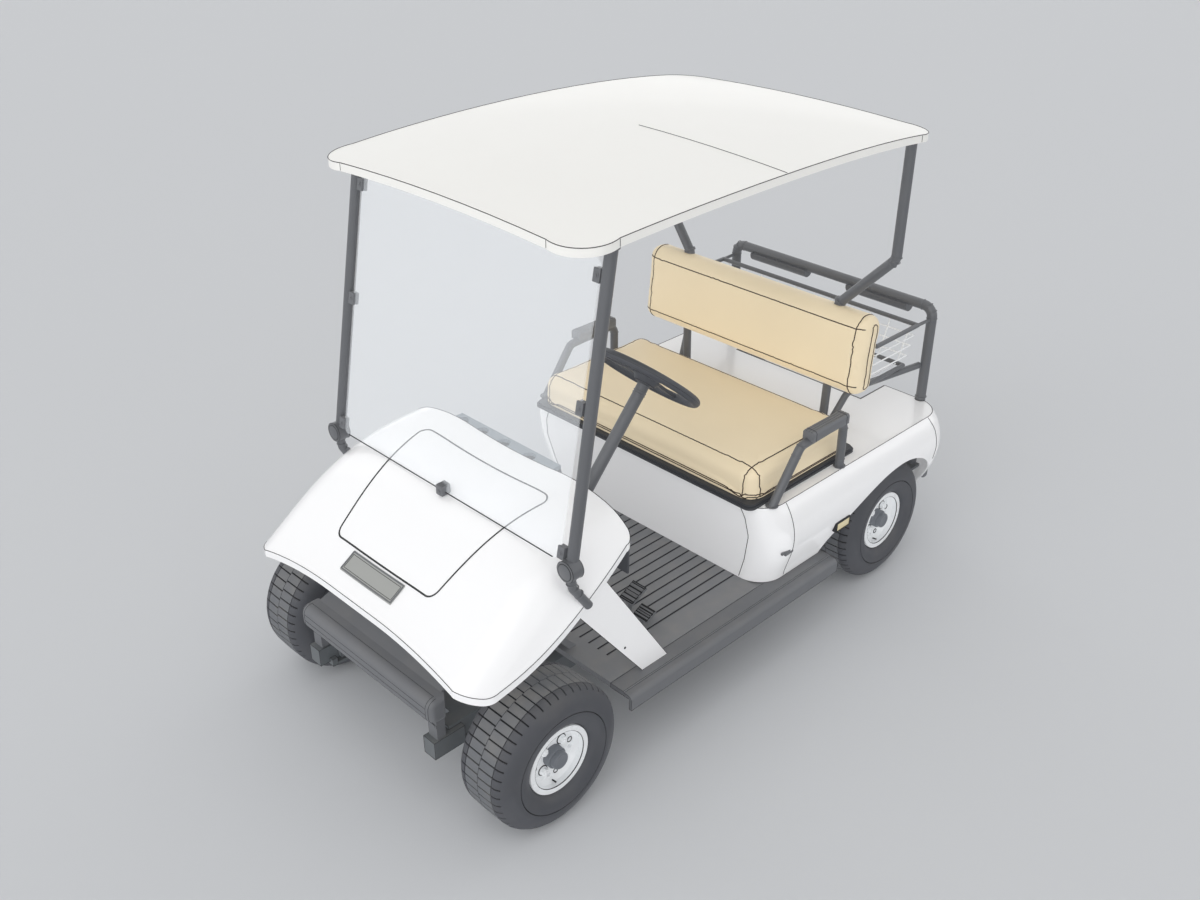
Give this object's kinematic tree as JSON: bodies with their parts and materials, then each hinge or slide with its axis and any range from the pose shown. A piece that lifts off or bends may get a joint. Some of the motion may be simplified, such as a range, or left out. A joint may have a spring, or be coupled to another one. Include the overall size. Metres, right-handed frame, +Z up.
{
  "type": "golf cart",
  "caption": "Open two-seat electric golf cart with a canopy roof, clear windshield, bench seat, rear bag rack and wire basket, on turf tyres.",
  "frame": {"origin": "on the ground under the middle of the cart's overall length and width", "axes": "+X forward, +Y to the driver's side, +Z up"},
  "size_m": [2.267, 1.212, 1.7261],
  "materials": {
    "body_panel": "smooth gloss",
    "roof_panel": "smooth satin",
    "dark_plastic": "fine moulded grain",
    "dash_plastic": "fine moulded grain",
    "tube_paint": "satin powder coat",
    "chassis_paint": "satin chassis paint",
    "floor_mat": "ribbed rubber",
    "grip_plastic": "soft moulded grain",
    "seat_vinyl": "grained vinyl",
    "seat_base": "smooth",
    "windshield": "clear polished sheet",
    "reflector": "ribbed lens",
    "battery_case": "smooth",
    "tyre": "turf tread rubber",
    "rim_paint": "gloss enamel",
    "cap_plastic": "smooth"
  },
  "bodies": {
    "chassis": {"armrest_pads": "dark_plastic", "armrest_rails": "tube_paint", "backrest": "seat_vinyl", "backrest_frame": "tube_paint", "bag_rack": "tube_paint", "bag_well": "dark_plastic", "basket_frame": "tube_paint", "basket_wires": "rim_paint", "battery_pack": "battery_case", "body_shell": "body_panel", "cowl": "body_panel", "cowl_hatch": "body_panel", "cowl_legs": "body_panel", "dash_panel": "dash_plastic", "drive_motor": "chassis_paint", "floor_panel": "floor_mat", "frame": "chassis_paint", "front_axle": "chassis_paint", "front_bumper": "dark_plastic", "front_struts": "tube_paint", "leaf_springs": "chassis_paint", "nameplate": "dark_plastic", "pedals": "dark_plastic", "rear_apron": "body_panel", "rear_axle": "chassis_paint", "rear_bumper": "dark_plastic", "rear_struts": "tube_paint", "reflectors": "reflector", "rocker_panels": "dark_plastic", "roof": "roof_panel", "steering_column": "tube_paint", "windshield": "windshield", "windshield_clips": "dark_plastic"},
    "wheel_front_left": {"tyre_front_left": "tyre", "rim_front_left": "rim_paint", "hub_cap_front_left": "cap_plastic"},
    "wheel_front_right": {"tyre_front_right": "tyre", "rim_front_right": "rim_paint", "hub_cap_front_right": "cap_plastic"},
    "wheel_rear_left": {"tyre_rear_left": "tyre", "rim_rear_left": "rim_paint", "hub_cap_rear_left": "cap_plastic"},
    "wheel_rear_right": {"tyre_rear_right": "tyre", "rim_rear_right": "rim_paint", "hub_cap_rear_right": "cap_plastic"},
    "knuckle_left": {"knuckle_left": "chassis_paint"},
    "knuckle_right": {"knuckle_right": "chassis_paint"},
    "tie_rod": {"tie_rod": "chassis_paint"},
    "steering_wheel": {"steering_wheel": "grip_plastic"},
    "seat_lid": {"seat_board": "seat_base", "seat_cushion": "seat_vinyl"}
  },
  "joints": [
    {"name": "steer_left", "type": "hinge", "parent": "chassis", "child": "knuckle_left", "pos_m": [0.8785, 0.388, 0.2285], "axis": [0, 0, 1], "range_deg": [-24, 24]},
    {"name": "steer_right", "type": "hinge", "parent": "chassis", "child": "knuckle_right", "pos_m": [0.8785, -0.388, 0.2285], "axis": [0, 0, 1], "range_deg": [-24, 24]},
    {"name": "tie_rod_pivot", "type": "hinge", "parent": "knuckle_left", "child": "tie_rod", "pos_m": [0.7685, 0.378, 0.143], "axis": [0, 0, 1], "range_deg": [-25, 25]},
    {"name": "steering_turn", "type": "hinge", "parent": "chassis", "child": "steering_wheel", "pos_m": [0.2085, 0.25, 1.048], "axis": [-0.6677, 0, 0.7444], "range_deg": [-300, 300]},
    {"name": "wheel_spin_front_left", "type": "hinge", "parent": "knuckle_left", "child": "wheel_front_left", "pos_m": [0.8785, 0.5, 0.2285], "axis": [0, 1, 0], "continuous": true},
    {"name": "wheel_spin_front_right", "type": "hinge", "parent": "knuckle_right", "child": "wheel_front_right", "pos_m": [0.8785, -0.5, 0.2285], "axis": [0, 1, 0], "continuous": true},
    {"name": "wheel_spin_rear_left", "type": "hinge", "parent": "chassis", "child": "wheel_rear_left", "pos_m": [-0.7975, 0.424, 0.2285], "axis": [0, 1, 0], "continuous": true},
    {"name": "wheel_spin_rear_right", "type": "hinge", "parent": "chassis", "child": "wheel_rear_right", "pos_m": [-0.7975, -0.424, 0.2285], "axis": [0, 1, 0], "continuous": true},
    {"name": "seat_hinge", "type": "hinge", "parent": "chassis", "child": "seat_lid", "pos_m": [-0.0165, 0, 0.6103], "axis": [0, 1, 0], "range_deg": [0, 75]}
  ],
  "couplings": [
    {"joint": "steer_right", "follows": "steer_left", "ratio": 1},
    {"joint": "tie_rod_pivot", "follows": "steer_left", "ratio": -1.0257},
    {"joint": "steering_turn", "follows": "steer_left", "ratio": 12.5}
  ]
}
